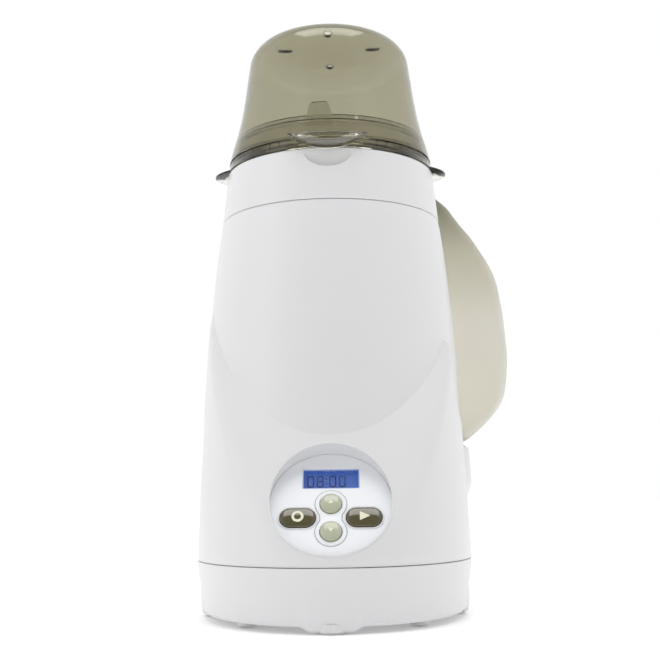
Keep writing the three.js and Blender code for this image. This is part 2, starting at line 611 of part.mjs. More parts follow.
// ---------------------------------------------------------------- power parts in the base
add('power_board', box(-32, 14, -20, 34, 12, 13.6), 'board');
add('relay', box(-26, -10, 8, 27, 14, 29), 'black');
add('terminal_block', box(-4, 10, 14, 26, 14, 24), 'inner');
const glandBody = ring([[3.4, -13], [5, -13], [5, 0], [7.4, 0], [7.4, 3], [5.4, 6.5], [3.4, 6.5]], 20);
add('cord_gland', glandBody.rotateX(-PI / 2), 'black').position.set(0, GLAND_Y + GAP, GLAND_Z);

// ---------------------------------------------------------------- place the origin
warmer.updateMatrixWorld(true);
const extent = new THREE.Box3().setFromObject(warmer, true);
const middle = extent.getCenter(new THREE.Vector3());
const object = new THREE.Group();
object.add(warmer);
warmer.position.set(-middle.x, -middle.y, -extent.min.z);
object.updateMatrixWorld(true);

export default object;
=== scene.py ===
"""Looks of the bottle warmer: fine moulded shells, clear smoke pieces, the panel and a white studio."""
import math

import bmesh
import bpy
import numpy as np
from mathutils import Matrix, Vector


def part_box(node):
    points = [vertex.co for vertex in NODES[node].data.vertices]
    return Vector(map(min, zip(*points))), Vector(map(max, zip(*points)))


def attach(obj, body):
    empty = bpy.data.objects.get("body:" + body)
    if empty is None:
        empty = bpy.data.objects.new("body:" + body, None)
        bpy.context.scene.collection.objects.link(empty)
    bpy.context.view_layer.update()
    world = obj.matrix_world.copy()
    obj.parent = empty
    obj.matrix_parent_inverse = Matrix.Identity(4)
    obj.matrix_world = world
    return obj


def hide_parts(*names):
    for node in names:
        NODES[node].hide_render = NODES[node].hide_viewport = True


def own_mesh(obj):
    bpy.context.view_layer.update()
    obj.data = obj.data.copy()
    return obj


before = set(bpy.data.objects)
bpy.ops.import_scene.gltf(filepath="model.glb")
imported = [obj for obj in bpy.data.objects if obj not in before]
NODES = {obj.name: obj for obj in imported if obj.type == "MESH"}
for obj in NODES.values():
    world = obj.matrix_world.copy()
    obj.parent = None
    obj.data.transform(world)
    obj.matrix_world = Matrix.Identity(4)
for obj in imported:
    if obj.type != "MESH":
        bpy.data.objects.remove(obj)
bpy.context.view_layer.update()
MM = 0.001


def middle(node):
    """The centre of a CAD node's box, in millimetres."""
    low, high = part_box(node)
    return (low + high) / 2 / MM


# Lengths below are millimetres from the chamber's axis. The seam under the housing is at the height SEAM.
SEAM = 25.3
AXIS = middle("heating_plate")
AXIS.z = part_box("main_housing")[0].z / MM - SEAM
WELL = middle("tank_cap") - AXIS
AZIMUTH = math.atan2(WELL.y, WELL.x)
WELL_R = WELL.to_2d().length
FLOOR = -AXIS.z
BASE_TOP = 25.0
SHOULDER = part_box("main_housing")[1].z / MM - AXIS.z
COLLAR_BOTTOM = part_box("collar_ring")[0].z / MM - AXIS.z
COLLAR_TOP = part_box("collar_ring")[1].z / MM - AXIS.z
RIM = 223.6
LEDGE = 80.0
GAP = 0.3
SHARP_ANGLE = math.radians(38)

# (height, radius) of the cone, (height, half width) of the skirt, (height, reach) of the tank's outer face
CONE = [(20, 66.2), (50, 64.8), (82, 63.3), (103, 62.6), (120, 62), (137, 61.1), (145, 60.5), (162, 59),
        (180, 56.9), (192, 55.3), (204.5, 53.9), (218, 52.5), (230, 51.4)]
HALF_WIDTH = [(22, 67), (40, 66.2), (50, 65.7), (63, 65.1), (82, 64.1), (96, 63.8), (111, 63), (137, 61.2),
              (160, 57), (218, 40)]
TANK_OUTER = [(82, 78), (83.2, 81.5), (85, 84.5), (89.5, 90), (94.5, 95), (103, 101), (112, 104),
              (122, 105.5), (130, 106), (142, 105), (151, 104), (160, 102), (169, 100), (178, 96.5),
              (187, 91.5), (195, 86.4), (199, 82.6), (204.6, 78), (209.6, 73), (213.2, 66)]


# ---------------------------------------------------------------- curves and meshes
def smooth_curve(table):
    """A smooth function through the (x, y) pairs."""
    xs, ys = np.array(table, float).T
    slopes = np.gradient(ys, xs)

    def value(x):
        x = np.clip(x, xs[0], xs[-1])
        i = np.clip(np.searchsorted(xs, x) - 1, 0, len(xs) - 2)
        span = xs[i + 1] - xs[i]
        t = (x - xs[i]) / span
        near = (1 + 2 * t) * (1 - t) ** 2 * ys[i] + t * (1 - t) ** 2 * span * slopes[i]
        far = t * t * (3 - 2 * t) * ys[i + 1] + t * t * (t - 1) * span * slopes[i + 1]
        return near + far

    return value


cone_radius = smooth_curve(CONE)
half_width = smooth_curve(HALF_WIDTH)
tank_reach = smooth_curve(TANK_OUTER)


def step(t):
    t = np.clip(t, 0, 1)
    return t * t * (3 - 2 * t)


def soft_min(a, b, k):
    h = np.clip(0.5 + 0.5 * (b - a) / k, 0, 1)
    return b + (a - b) * h - k * h * (1 - h)


def soft_max(a, b, k):
    return -soft_min(-a, -b, k)


def rounded(corners, radii, steps=5):
    """The closed outline with each corner turned into an arc of the given radius."""
    points = []
    count = len(corners)
    for i, corner in enumerate(corners):
        here = Vector(corner)
        before = Vector(corners[i - 1]) - here
        after = Vector(corners[(i + 1) % count]) - here
        radius = radii[i] if isinstance(radii, (list, tuple)) else radii
        half = before.angle(after) / 2
        cut = radius / max(math.tan(half), 1e-6)
        cut = min(cut, before.length * 0.49, after.length * 0.49)
        if cut < 1e-3 or half > 1.5:
            points.append(tuple(here))
            continue
        start = here + before.normalized() * cut
        end = here + after.normalized() * cut
        for k in range(steps + 1):
            t = k / steps
            points.append(tuple(start * (1 - t) ** 2 + here * 2 * t * (1 - t) + end * t * t))
    return points


def build(name, points, faces, look):
    """A mesh object from points in millimetres about the chamber's axis."""
    mesh = bpy.data.meshes.new(name)
    placed = (np.asarray(points, float) + np.array(AXIS)) * MM
    mesh.from_pydata(placed.tolist(), [], [list(map(int, f)) for f in faces])
    body = bmesh.new()
    body.from_mesh(mesh)
    bmesh.ops.remove_doubles(body, verts=body.verts, dist=2e-6)
    bmesh.ops.recalc_face_normals(body, faces=body.faces)
    body.to_mesh(mesh)
    body.free()
    obj = bpy.data.objects.new(name, mesh)
    bpy.context.scene.collection.objects.link(obj)
    finish_shading(obj)
    if look:
        mesh.materials.append(look)
    return obj


def finish_shading(obj):
    """Smooth faces, with crisp edges where they meet at more than SHARP_ANGLE."""
    obj.data.polygons.foreach_set("use_smooth", [True] * len(obj.data.polygons))
    obj.data.set_sharp_from_angle(angle=SHARP_ANGLE)


def grid_faces(rows, columns, wrap_rows=False):
    """Quads between closed rows of points."""
    faces = []
    for r in range(rows if wrap_rows else rows - 1):
        for c in range(columns):
            d = (c + 1) % columns
            s = (r + 1) % rows
            faces.append((r * columns + c, r * columns + d, s * columns + d, s * columns + c))
    return faces


def ring_at(r, theta, z):
    """Points about the axis at the radius r and the height z."""
    return np.stack([r * np.cos(theta), r * np.sin(theta), z + 0 * theta], axis=-1)


def extrude(outline, z0, z1):
    """The outline of (x, y) pairs at two heights."""
    return [[(x, y, z) for x, y in outline] for z in (z0, z1)]


def rectangle(x0, x1, y0, y1):
    return [(x0, y0), (x1, y0), (x1, y1), (x0, y1)]


def turn_points(profile, segments, centre):
    profile = np.array(profile, float)
    angles = np.arange(segments) * 2 * math.pi / segments
    x = centre[0] + profile[:, :1] * np.cos(angles)
    y = centre[1] + profile[:, :1] * np.sin(angles)
    z = np.repeat(profile[:, 1:2], segments, axis=1)
    return np.stack([x, y, z], axis=-1).reshape(-1, 3)


def lathe(name, profile, look, segments=160, centre=(0, 0), closed=True):
    """The profile of (radius, height) turned about an upright axis."""
    points = turn_points(profile, segments, centre)
    return build(name, points, grid_faces(len(profile), segments, closed), look)


def stack(name, rings, look):
    """Closed body over stacked rings, with a flat face at each end."""
    rings = np.asarray(rings, float)
    levels, count = rings.shape[:2]
    faces = grid_faces(levels, count)
    faces.append(tuple(range(count)))
    faces.append(tuple((levels - 1) * count + i for i in reversed(range(count))))
    return build(name, rings.reshape(-1, 3), faces, look)


def combine(target, tool, operation="DIFFERENCE", solver="MANIFOLD"):
    """Cuts or joins with a solid, and leaves only the result. EXACT leaves the other faces as they are."""
    modifier = target.modifiers.new("combine", "BOOLEAN")
    modifier.operation = operation
    modifier.solver = solver
    modifier.object = tool
    bpy.context.view_layer.update()
    result = bpy.data.meshes.new_from_object(target.evaluated_get(bpy.context.evaluated_depsgraph_get()))
    target.modifiers.clear()
    target.data = result
    bpy.data.objects.remove(tool)
    finish_shading(target)
    return target


def merge(target, *others):
    """Joins the meshes of the others into the target without changing them."""
    body = bmesh.new()
    body.from_mesh(target.data)
    for other in others:
        other.data.transform(other.matrix_world)
        body.from_mesh(other.data)
        bpy.data.objects.remove(other)
    body.to_mesh(target.data)
    body.free()
    return target


def place(obj, matrix):
    """Moves a piece built about the frame's origin by a matrix in millimetres about the axis."""
    to_origin = Matrix.Translation(-AXIS * MM)
    back = Matrix.Translation(AXIS * MM)
    scaled = matrix.copy()
    scaled.translation = matrix.translation * MM
    obj.data.transform(back @ scaled @ to_origin)
    obj.data.update()
    return obj


# ---------------------------------------------------------------- materials
def new_material(name, color, roughness, **values):
    """A Principled material. The values name sockets by their labels, with _ for a space."""
    material = bpy.data.materials.new(name)
    material.use_nodes = True
    shader = material.node_tree.nodes["Principled BSDF"]
    shader.inputs["Base Color"].default_value = (*color, 1)
    shader.inputs["Roughness"].default_value = roughness
    for key, value in values.items():
        shader.inputs[key.replace("_", " ")].default_value = value
    return material


def node(material, kind, **inputs):
    item = material.node_tree.nodes.new(kind)
    for key, value in inputs.items():
        item.inputs[key].default_value = value
    return item


def link(material, source, output, target, socket):
    material.node_tree.links.new(source.outputs[output], target.inputs[socket])


def surface_detail(material, color, shift=0.02, patch=35, grain=2200, bump=0.00001, rough=(0.2, 0.3)):
    """Adds faint moulding marks: slow colour drift, a roughness map and fine grain as bump."""
    shader = material.node_tree.nodes["Principled BSDF"]
    place_node = node(material, "ShaderNodeTexCoord")
    drift = node(material, "ShaderNodeTexNoise", Scale=patch, Detail=3.0)
    link(material, place_node, "Object", drift, "Vector")
    mix = node(material, "ShaderNodeMix")
    mix.data_type = "RGBA"
    low = tuple(max(0.0, c - shift) for c in color)
    high = tuple(min(1.0, c + shift) for c in color)
    mix.inputs[6].default_value = (*low, 1)
    mix.inputs[7].default_value = (*high, 1)
    link(material, drift, "Fac", mix, 0)
    material.node_tree.links.new(mix.outputs[2], shader.inputs["Base Color"])
    spread = node(material, "ShaderNodeMapRange")
    spread.inputs["To Min"].default_value = rough[0]
    spread.inputs["To Max"].default_value = rough[1]
    link(material, drift, "Fac", spread, "Value")
    link(material, spread, "Result", shader, "Roughness")
    fine = node(material, "ShaderNodeTexNoise", Scale=grain, Detail=2.0)
    link(material, place_node, "Object", fine, "Vector")
    relief = node(material, "ShaderNodeBump", Strength=0.25, Distance=bump)
    link(material, fine, "Fac", relief, "Height")
    link(material, relief, "Normal", shader, "Normal")
    return material


def plastic(name, color, rough, shift=0.012, grain=2200, bump=0.00001, **values):
    material = new_material(name, color, rough[0], **values)
    return surface_detail(material, color, shift, 30, grain, bump, rough)


def clear(name, color, rough, weight, grain=900, bump=0.000008, **values):
    material = new_material(name, color, rough[0], Transmission_Weight=weight, **values)
    return surface_detail(material, color, 0.012, 22, grain, bump, rough)


def painted_shade_by_height(material, low, high, stops):
    """Paints shade into the colour, by the height in metres above the surface that the object stands on."""
    shader = material.node_tree.nodes["Principled BSDF"]
    place_node = node(material, "ShaderNodeTexCoord")
    split = node(material, "ShaderNodeSeparateXYZ")
    link(material, place_node, "Object", split, 0)
    span = node(material, "ShaderNodeMapRange")
    span.inputs["From Min"].default_value = low
    span.inputs["From Max"].default_value = high
    link(material, split, "Z", span, "Value")
    ramp = node(material, "ShaderNodeValToRGB")
    link(material, span, "Result", ramp, "Fac")
    elements = ramp.color_ramp.elements
    while len(elements) < len(stops):
        elements.new(0.5)
    for element, (position, color) in zip(elements, stops):
        element.position = position
        element.color = (*color, 1)
    link(material, ramp, "Color", shader, "Base Color")
    return material


def frosted_tank_with_painted_shade():
    """Frosted plastic with painted shade: its colour darkens towards the closed top, where the tank looks
    thicker.
    """
    material = clear("smoke_frosted", (0.9, 0.89, 0.8), (0.34, 0.44), 0.72, 1600, 0.00004, IOR=1.4)
    # painted shade: pale low down, turning olive and dark towards the closed top
    stops = [(0, (0.97, 0.95, 0.86)), (0.5, (0.97, 0.95, 0.88)), (0.78, (0.80, 0.78, 0.66)),
             (1, (0.38, 0.36, 0.25))]
    return painted_shade_by_height(material, 0.082, 0.216, stops)


WHITE = (0.74, 0.74, 0.75)
LOOK = {
    "white": plastic("gloss_white", WHITE, (0.285, 0.34), 0.006, IOR=1.5, Coat_Weight=0.12,
                     Coat_Roughness=0.12),
    "panel": plastic("panel_white", (0.88, 0.90, 0.93), (0.285, 0.36), 0.006, IOR=1.5),
    "inner": plastic("satin_white", (0.74, 0.74, 0.70), (0.4, 0.55), 0.02, 900, 0.00004),
    "smoke": clear("smoke_clear", (0.97, 0.97, 0.95), (0.02, 0.05), 1.0, IOR=1.45),
    "ring": clear("smoke_ring", (0.97, 0.97, 0.95), (0.03, 0.08), 1.0, IOR=1.45),
    "tank": frosted_tank_with_painted_shade(),
    "dark": plastic("dark_olive", (0.085, 0.072, 0.028), (0.1, 0.18), 0.01, IOR=1.5, Coat_Weight=0.8,
                    Coat_Roughness=0.05),
    "sage": plastic("sage_green", (0.47, 0.49, 0.36), (0.14, 0.22), 0.02, IOR=1.5, Coat_Weight=0.6,
                    Coat_Roughness=0.06),
    "cream": plastic("cream_print", (0.80, 0.77, 0.60), (0.35, 0.45), 0.01),
    # painted shade: the grey that fills the gap round the button surround
    "groove": plastic("groove_painted_shade", (0.36, 0.37, 0.40), (0.4, 0.5), 0.01),
    "lens": clear("window_clear", (0.93, 0.96, 1.0), (0.02, 0.05), 1.0, IOR=1.2),
    "board": plastic("circuit_green", (0.03, 0.17, 0.07), (0.3, 0.45), 0.02, 700, 0.00005),
    "black": plastic("moulded_black", (0.02, 0.02, 0.022), (0.35, 0.5), 0.006, 1200, 0.00004),
    "rubber": plastic("foot_rubber", (0.27, 0.28, 0.29), (0.7, 0.85), 0.03, 1500, 0.00006),
    "silicone": plastic("silicone", (0.72, 0.70, 0.63), (0.45, 0.6), 0.02, 900, 0.00003),
    "steel": plastic("steel", (0.55, 0.56, 0.57), (0.285, 0.4), 0.03, 1500, 0.00003, Metallic=1.0),
    "aluminium": plastic("aluminium", (0.72, 0.73, 0.74), (0.28, 0.42), 0.03, 1300, 0.00003, Metallic=1.0),
}


def tint_depth(material, color, density):
    """Darkens light with the depth of plastic that it crosses."""
    depth = node(material, "ShaderNodeVolumeAbsorption", Density=density)
    depth.inputs["Color"].default_value = (*color, 1)
    out = material.node_tree.nodes["Material Output"]
    link(material, depth, "Volume", out, "Volume")


tint_depth(LOOK["smoke"], (0.60, 0.575, 0.43), 520)
tint_depth(LOOK["ring"], (0.60, 0.58, 0.50), 400)


def glowing_blue():
    """The backlit display."""
    material = plastic("display_blue", (0.045, 0.10, 0.36), (0.285, 0.36), 0.005)
    shader = material.node_tree.nodes["Principled BSDF"]
    shader.inputs["Emission Color"].default_value = (0.05, 0.16, 0.62, 1)
    shader.inputs["Emission Strength"].default_value = 0.3
    return material


LOOK["blue"] = glowing_blue()
LOOK["digit"] = plastic("digit_navy", (0.012, 0.03, 0.16), (0.3, 0.4), 0.002)
LOOK["glow"] = plastic("display_edge", (0.42, 0.52, 0.86), (0.3, 0.4), 0.01)

KEPT = {
    "aluminium": ["heating_plate", "chamber_liner"],
    "silicone": ["plate_seal", "valve_seal", "cap_gasket"],
    "steel": ["heater_element", "thermal_fuse", "base_screw_1", "base_screw_2", "base_screw_3",
              "base_screw_4", "board_screw_1", "board_screw_2"],
    "black": ["thermostat", "relay", "switch_stop", "switch_start", "switch_up", "switch_down", "buzzer",
              "cord_gland"],
    "inner": ["tank_cap", "valve_stem", "tank_socket", "terminal_block"],
    "board": ["control_board", "power_board"],
    "rubber": ["foot_front", "foot_right", "foot_rear", "foot_left"],
}
for look_name, names in KEPT.items():
    for kept in names:
        NODES[kept].data.materials.clear()
        NODES[kept].data.materials.append(LOOK[look_name])
        finish_shading(NODES[kept])


def show(obj, body, slot, *replaced):
    """Rides the piece on a body and hides the CAD nodes it replaces."""
    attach(obj, body)
    if replaced:
        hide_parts(*replaced)
    return obj


# ---------------------------------------------------------------- housing surface
FACET_HEIGHT = 82
FACET_OFFSET = 63.2
FACET_BOW = {"front": 320, "rear": 400}
SKIRT_DEPTH = {"front": 86.5, "rear": 84}
BRACKET_OUT = 13.6
BRACKET_FOOT = 40
BRACKET_RISE = 22
BRACKET_REACH = {"front": 25, "rear": 28}
SHELF_HALF_ANGLE = 61.5
WALL = 2.6


def facet_radius(theta, z):
    """The curved crescents at the front and the back of the housing."""
    above = z - FACET_HEIGHT
    lean = 0.44 * above + 0.002 * np.maximum(0, above) ** 2
    offset = np.maximum(FACET_OFFSET - lean, 0.01)
    bow = np.where(np.sin(theta) < 0, FACET_BOW["front"], FACET_BOW["rear"])
    bend = np.maximum(np.cos(theta) ** 2 / bow, 1e-7)
    face = np.abs(np.sin(theta))
    return (np.sqrt(face * face + 4 * bend * offset) - face) / (2 * bend)


def wall_radius(theta, z):
    """The skirt's outline at a height, squarer behind."""
    front = np.sin(theta) < 0
    a = half_width(z)
    b = np.where(front, SKIRT_DEPTH["front"], SKIRT_DEPTH["rear"]) - 0.045 * (z - 27)
    n = np.where(front, 2.0, 3.0)
    return (np.abs(np.cos(theta) / a) ** n + np.abs(np.sin(theta) / b) ** n) ** (-1 / n)


def bracket(theta, z):
    """How far the bracket under the tank stands out of the wall."""
    turn = np.angle(np.exp(1j * (theta - AZIMUTH)))
    side = np.where(np.abs(turn) < 1, 75 * np.tan(np.clip(turn, -1, 1)), 99)
    reach = np.where(side < 0, BRACKET_REACH["front"], BRACKET_REACH["rear"])
    return BRACKET_OUT * (1 - step(np.abs(side) / reach)) * step((z - BRACKET_FOOT) / BRACKET_RISE)


def skirt_radius(theta, z):
    wall = wall_radius(theta, z) + bracket(theta, z)
    return soft_min(wall, facet_radius(theta, z), 3.2)


def crease_height(theta):
    """Where the skirt meets the cone: the smile at the front and back, and the shelf at the tank."""
    z = np.linspace(70, 150, 1601)
    t, h = np.meshgrid(theta, z, indexing="ij")
    above = skirt_radius(t, h) < cone_radius(h)
    first = np.where(above.any(1), above.argmax(1), len(z) - 1)
    natural = z[first]
    turn = np.abs(np.degrees(np.angle(np.exp(1j * (theta - AZIMUTH)))))
    shelf = np.maximum(78 + 19 * (turn / 65) ** 2, LEDGE) + 60 * step((turn - SHELF_HALF_ANGLE) / 4.5)
    return soft_min(natural, shelf, 2.0)


def housing_columns(count):
    return np.arange(count) * 2 * math.pi / count - math.pi / 2


def shell_columns():
    """Even columns all round, with close ones where the tank's cut ends."""
    ends = [AZIMUTH - math.radians(64), AZIMUTH + math.radians(64)]
    close = [end + math.radians(0.3) * i for end in ends for i in range(-11, 12)]
    return np.unique(np.round(np.concatenate([housing_columns(480), close]), 5))


def soften_rows(points, first, last, times):
    """Rounds the fold between the given rows a little, along and across it."""
    for _ in range(times):
        before = points[first - 1:last - 1]
        after = points[first + 1:last + 1]
        points[first:last] = (before + 2 * points[first:last] + after) / 4
        sides = np.roll(points, 1, axis=1) + np.roll(points, -1, axis=1)
        points[first:last] = (2 * points[first:last] + sides[first:last]) / 4
    return points


def housing_shell():
    theta = shell_columns()
    crease = crease_height(theta)
    below = 1 - np.linspace(1, 0, 56) ** 1.6
    rows = []
    for t in below:
        z = SEAM + (crease - SEAM) * t
        rows.append((skirt_radius(theta, z), z))
    rise = 0.35
    for t in (0.06, 0.2, 0.45, 0.7, 0.9, 1.0):
        z = crease + rise * t
        lower = skirt_radius(theta, crease)
        rows.append((lower + (cone_radius(z) - lower) * t, z))
    for t in np.linspace(0, 1, 44)[1:] ** 1.5:
        z = crease + rise + (SHOULDER - crease - rise) * t
        rows.append((cone_radius(z), z))
    points = np.array([[r * np.cos(theta), r * np.sin(theta), z] for r, z in rows]).transpose(0, 2, 1)
    points = soften_rows(points, len(below) - 5, len(below) + 10, 4)
    # a small bevel at the two seams
    bevel = 0.6
    for row in (0, -1):
        points[row, :, :2] *= 1 - bevel / 65
    return stack("housing_shell", points, LOOK["white"])


def housing_hollow():
    """The space inside the housing's wall."""
    theta = housing_columns(120)
    rings = []
    levels = [SEAM - 3, 32, 40, 48, 56, 62, 66, 72, LEDGE - WALL, LEDGE - 2.3]
    levels += [LEDGE + 4 * i for i in range(1, 28)] + [SHOULDER - 2.5]
    for z in levels:
        level = np.full_like(theta, z)
        here = np.where(level < crease_height(theta), skirt_radius(theta, level), cone_radius(level))
        over = level + 3.2
        later = np.where(over < crease_height(theta), skirt_radius(theta, over), cone_radius(over))
        r = np.minimum(here, later) - WALL
        r = np.minimum(r, np.minimum(np.roll(r, 1), np.roll(r, -1)))
        rings.append(ring_at(r, theta, level))
    return stack("hollow", rings, None)


TILT = math.radians(31)
PANEL_A = 26.6
PANEL_B = 25.6
PANEL = Matrix.Translation(Vector((0, -70, 51.3))) @ Matrix.Rotation(math.pi / 2 - TILT, 4, "X")
TANK_TURN = Matrix.Rotation(AZIMUTH, 4, "Z")


def oval_ring(a, b, z, count=160, x=0.0, y=0.0):
    t = np.arange(count) * 2 * math.pi / count
    return np.stack([x + a * np.cos(t), y + b * np.sin(t), np.full(count, float(z))], axis=-1)


def panel_block(rings):
    return place(stack("block", rings, None), PANEL)


def oval_block(a, b, z0, z1):
    return panel_block([oval_ring(a, b, z0), oval_ring(a, b, z1)])


def disc_block(r, z0, z1, x=0.0, y=0.0, count=96):
    return stack("block", [oval_ring(r, r, z, count, x, y) for z in (z0, z1)], None)


def main_housing():
    hollow = housing_hollow()
    combine(hollow, oval_block(PANEL_A + 2.4, PANEL_B + 2.4, -9, 40))
    combine(hollow, place(disc_block(13.2, 66.5, 100, WELL_R), TANK_TURN))
    mouth = [(0, 69), (11, 69), (11, 79.2), (11.8, 80.3), (12.4, 90), (0, 90)]
    openings = [disc_block(49.2, 180, 200, count=160), oval_block(PANEL_A + 0.3, PANEL_B + 0.3, -2.6, 40),
                oval_block(PANEL_A - 2.2, PANEL_B - 2.2, -14, 0),
                place(lathe("cutter", mouth, None, 64, (WELL_R, 0)), TANK_TURN),
                place(disc_block(5.9, 60, 75, WELL_R, count=48), TANK_TURN)]
    for opening in openings:
        combine(hollow, opening, "UNION")
    shell = combine(housing_shell(), hollow, solver="EXACT")
    return show(shell, "body", "white_shell", "main_housing")


main_housing()


def rim_height(angle):
    """Distance from the panel's plane to the housing's surface, over a point of the panel's outline."""
    start = PANEL @ Vector((PANEL_A * math.cos(angle), PANEL_B * math.sin(angle), 0))
    along_normal = (PANEL.to_3x3() @ Vector((0, 0, 1))).normalized()
    low, high = -3.0, 25.0
    for _ in range(30):
        mid = (low + high) / 2
        p = start + along_normal * mid
        surface = float(skirt_radius(np.array([math.atan2(p.y, p.x)]), np.array([p.z]))[0])
        if math.hypot(p.x, p.y) < surface:
            low = mid
        else:
            high = mid
    return low


# ---------------------------------------------------------------- control panel
def bar_outline(half_length, half_height, z, x=0.0, y=0.0, steps=20):
    run = half_length - half_height
    points = []
    for side, start in ((1, -math.pi / 2), (-1, math.pi / 2)):
        for i in range(steps + 1):
            t = start + i / steps * math.pi
            points.append((x + side * run + half_height * math.cos(t), y + half_height * math.sin(t), z))
    return np.array(points)


def domed_bar(name, half_length, half_height, x, y, back, front, crown, look):
    rings = [bar_outline(half_length, half_height, back, x, y),
             bar_outline(half_length, half_height, front - 0.5, x, y)]
    for i in range(1, 13):
        t = i / 12
        inset = (half_height - 0.15) * (1 - math.cos(t * math.pi / 2))
        z = front - 0.5 + crown * math.sin(t * math.pi / 2)
        rings.append(bar_outline(half_length - inset, half_height - inset, z, x, y))
    return place(stack(name, rings, look), PANEL)


LCD_W, LCD_H, LCD_Y = 25.1, 10.0, 12.9
OVAL_A, OVAL_B, OVAL_X, OVAL_Y = 7.7, 4.55, 14.3, -6.7
ROUND_R = 4.7
ROUND_Y = {"up": 0.0, "down": -13.5}


def box_block(x0, x1, y0, y1, z0, z1):
    return panel_block(extrude(rounded(rectangle(x0, x1, y0, y1), 0.5, 4), z0, z1))


def eight_outline(grow, z, count=240):
    """Two lobes with a waist, as one rounded outline."""
    t = np.arange(count) * 2 * math.pi / count
    centre = (ROUND_Y["up"] + ROUND_Y["down"]) / 2
    lobe = 7.1 + grow
    half = (ROUND_Y["up"] - ROUND_Y["down"]) / 2
    points = []
    for angle in t:
        dx, dy = math.cos(angle), math.sin(angle)
        along_lobe = half * abs(dy)
        inside = lobe * lobe - (half * dx) ** 2
        far = along_lobe + math.sqrt(max(inside, 0))
        waist = (5.0 + grow) / max(abs(dx), 1e-6)
        reach = float(soft_max(np.array(far if inside > 0 else 0.0), np.array(min(waist, 9.0)), 1.6))
        if inside > 0 and abs(dy) > 0.75:
            reach = far
        points.append((reach * dx, centre + reach * dy, z))
    return np.array(points)


def panel_bezel():
    rings = [oval_ring(PANEL_A + 0.2, PANEL_B + 0.2, -2.2), oval_ring(PANEL_A + 0.2, PANEL_B + 0.2, -0.1),
             oval_ring(PANEL_A + 0.1, PANEL_B + 0.1, 0)]
    plate = place(stack("panel_face", rings, LOOK["panel"]), PANEL)
    half_w, half_h = LCD_W / 2, LCD_H / 2
    combine(plate, box_block(-half_w, half_w, LCD_Y - half_h, LCD_Y + half_h, -5, 3))
    for side in (-1, 1):
        rings = [bar_outline(OVAL_A + GAP, OVAL_B + GAP, z, side * OVAL_X, OVAL_Y) for z in (-5, 3)]
        combine(plate, panel_block(rings))
    combine(plate, panel_block([eight_outline(0, -5), eight_outline(0, 3)]))
    return show(plate, "body", "white_shell", "panel_bezel")


panel_bezel()


def rim_bead():
    """The rounded lip where the oval recess meets the housing."""
    steps, around, bead = 240, 10, 0.55
    rings = []
    for i in range(steps):
        angle = i / steps * 2 * math.pi
        height = rim_height(angle)
        out = Vector((math.cos(angle) / PANEL_A, math.sin(angle) / PANEL_B, 0)).normalized()
        centre = Vector((PANEL_A * math.cos(angle), PANEL_B * math.sin(angle), height - 0.25)) + out * 0.25
        ring = []
        for k in range(around):
            turn = k / around * 2 * math.pi
            lift = Vector((0, 0, 1)) * bead * math.sin(turn)
            ring.append(tuple(centre + out * bead * math.cos(turn) + lift))
        rings.append(ring)
    points = np.array(rings).reshape(-1, 3)
    bead_mesh = build("recess_lip", points, grid_faces(steps, around, True), LOOK["white"])
    return show(place(bead_mesh, PANEL), "body", "white_shell")


rim_bead()


def outline_frame(name, outer, inner, look, z0, z1):
    """A thin flat frame between two outlines of equal count."""
    rings = [outer + (0, 0, z0), outer + (0, 0, z1 - 0.1), outer * 0.5 + inner * 0.5 + (0, 0, z1),
             inner + (0, 0, z1 - 0.1), inner + (0, 0, z0)]
    points = np.array(rings).reshape(-1, 3)
    frame_mesh = build(name, points, grid_faces(5, len(outer), True), look)
    return place(frame_mesh, PANEL)


def button_surround():
    rings = [eight_outline(-GAP, -2.2), eight_outline(-GAP, 0.1), eight_outline(-GAP - 0.35, 0.4)]
    plate = place(stack("button_frame", rings, LOOK["panel"]), PANEL)
    for y in ROUND_Y.values():
        combine(plate, place(disc_block(ROUND_R + GAP, -5, 5, 0, y), PANEL))
    show(plate, "body", "sage_button", "button_surround")
    # a grey sheet down in the gap round the surround: painted shade for the shadow in the gap
    groove = outline_frame("frame_groove", eight_outline(0.05, 0), eight_outline(-GAP, 0), LOOK["groove"],
                           -2, -0.15)
    show(groove, "body", "sage_button")


button_surround()


def raised(name, outline, holes, look, z0, z1, body, slot):
    """A printed mark: a thin plate, with holes."""
    plate = place(stack(name, extrude(outline, z0, z1), look), PANEL)
    for hole in holes:
        combine(plate, panel_block(extrude(hole, z0 - 1, z1 + 1)))
    return show(plate, body, slot)


def circle(r, x, y, count=48):
    return [tuple(p[:2]) for p in oval_ring(r, r, 0, count, x, y)]


def oval_button(name, side, body):
    x = side * OVAL_X
    back, front, crown = -3.0, 1.1, 1.0
    cap = domed_bar(name, OVAL_A, OVAL_B, x, OVAL_Y, back, front, crown, LOOK["dark"])
    flange = [bar_outline(OVAL_A + 0.9, OVAL_B + 0.9, z, x, OVAL_Y) for z in (-3.4, -2.5)]
    combine(cap, place(stack("flange", flange, None), PANEL), "UNION")
    stem = [oval_ring(1.6, 1.6, z, 32, x, OVAL_Y) for z in (-4.6, -2.6)]
    combine(cap, place(stack("stem", stem, None), PANEL), "UNION")
    show(cap, body, "dark_button", body + "_button")
    ring = outline_frame(name + "_rim", bar_outline(OVAL_A + GAP + 0.75, OVAL_B + GAP + 0.75, 0, x, OVAL_Y),
                         bar_outline(OVAL_A + GAP, OVAL_B + GAP, 0, x, OVAL_Y), LOOK["white"], -0.3, 0.35)
    show(ring, "body", "white_shell")


